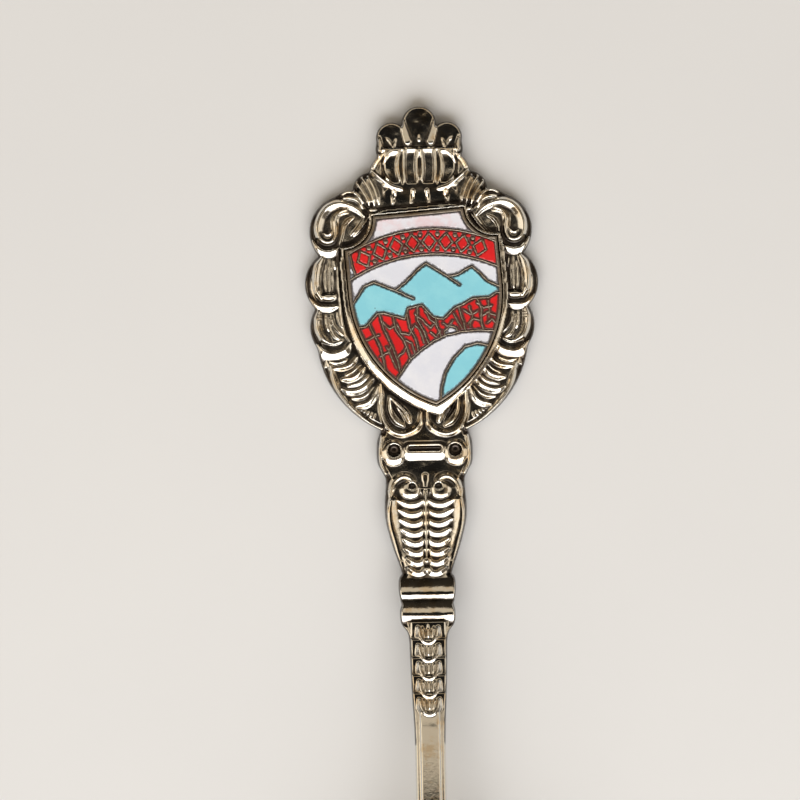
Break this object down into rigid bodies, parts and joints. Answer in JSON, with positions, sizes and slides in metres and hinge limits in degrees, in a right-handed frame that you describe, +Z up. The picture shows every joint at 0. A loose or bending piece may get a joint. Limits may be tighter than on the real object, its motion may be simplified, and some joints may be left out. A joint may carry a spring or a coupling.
{
  "type": "souvenir spoon",
  "caption": "Small plated souvenir spoon with a scrolled crest, a ribbed neck and an enamelled shield badge showing mountains, rocks and a river.",
  "frame": {"origin": "middle of the spoon's length and width, on the surface it lies on", "axes": "+Y along the spoon from the bowl to the crest, +Z up from the surface, out of the badge's face"},
  "size_m": [0.0234, 0.112, 0.0071],
  "materials": {
    "plated_casting": "bright nickel plate, darkened in the recesses",
    "struck_badge": "nickel-plated struck metal with rough wall tops",
    "adhesive": "cured clear adhesive film",
    "enamel_white": "glossy soft enamel",
    "enamel_red": "glossy soft enamel",
    "enamel_blue": "glossy soft enamel"
  },
  "bodies": {
    "root": {"spoon_casting": "plated_casting", "badge_adhesive": "adhesive", "badge_plate": "struck_badge", "enamel_top_panel": "enamel_white", "enamel_banner": "enamel_red", "enamel_banner_lozenges": "enamel_red", "enamel_banner_end": "enamel_white", "enamel_sky": "enamel_white", "enamel_mountains": "enamel_blue", "enamel_rock_1": "enamel_red", "enamel_rock_2": "enamel_red", "enamel_rock_3": "enamel_red", "enamel_rock_4": "enamel_red", "enamel_rock_5": "enamel_red", "enamel_rock_6": "enamel_red", "enamel_rock_7": "enamel_red", "enamel_rock_8": "enamel_red", "enamel_rock_9": "enamel_red", "enamel_snow_patch": "enamel_white", "enamel_river": "enamel_white", "enamel_lake": "enamel_blue"}
  },
  "joints": []
}
